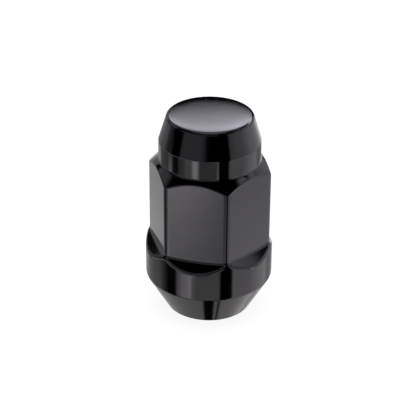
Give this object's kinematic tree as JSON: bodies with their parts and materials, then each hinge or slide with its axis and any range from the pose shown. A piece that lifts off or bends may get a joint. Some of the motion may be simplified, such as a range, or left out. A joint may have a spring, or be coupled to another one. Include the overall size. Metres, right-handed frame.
{
  "type": "lug nut",
  "caption": "Closed-end wheel nut with a hexagon, a round tapered head, a bulged collar with sloping shoulders and a cone seat, tapped from below.",
  "frame": {"origin": "centre of the seat end's flat ring, on the axis of the thread", "axes": "+Z along the axis of the thread from the open seat end to the closed head; -Y is the outward normal of one hexagon face"},
  "size_m": [0.0222, 0.0222, 0.0368],
  "materials": {
    "black_chrome": "polished black chrome plating on steel"
  },
  "bodies": {
    "root": {"lug_nut": "black_chrome"}
  },
  "joints": []
}
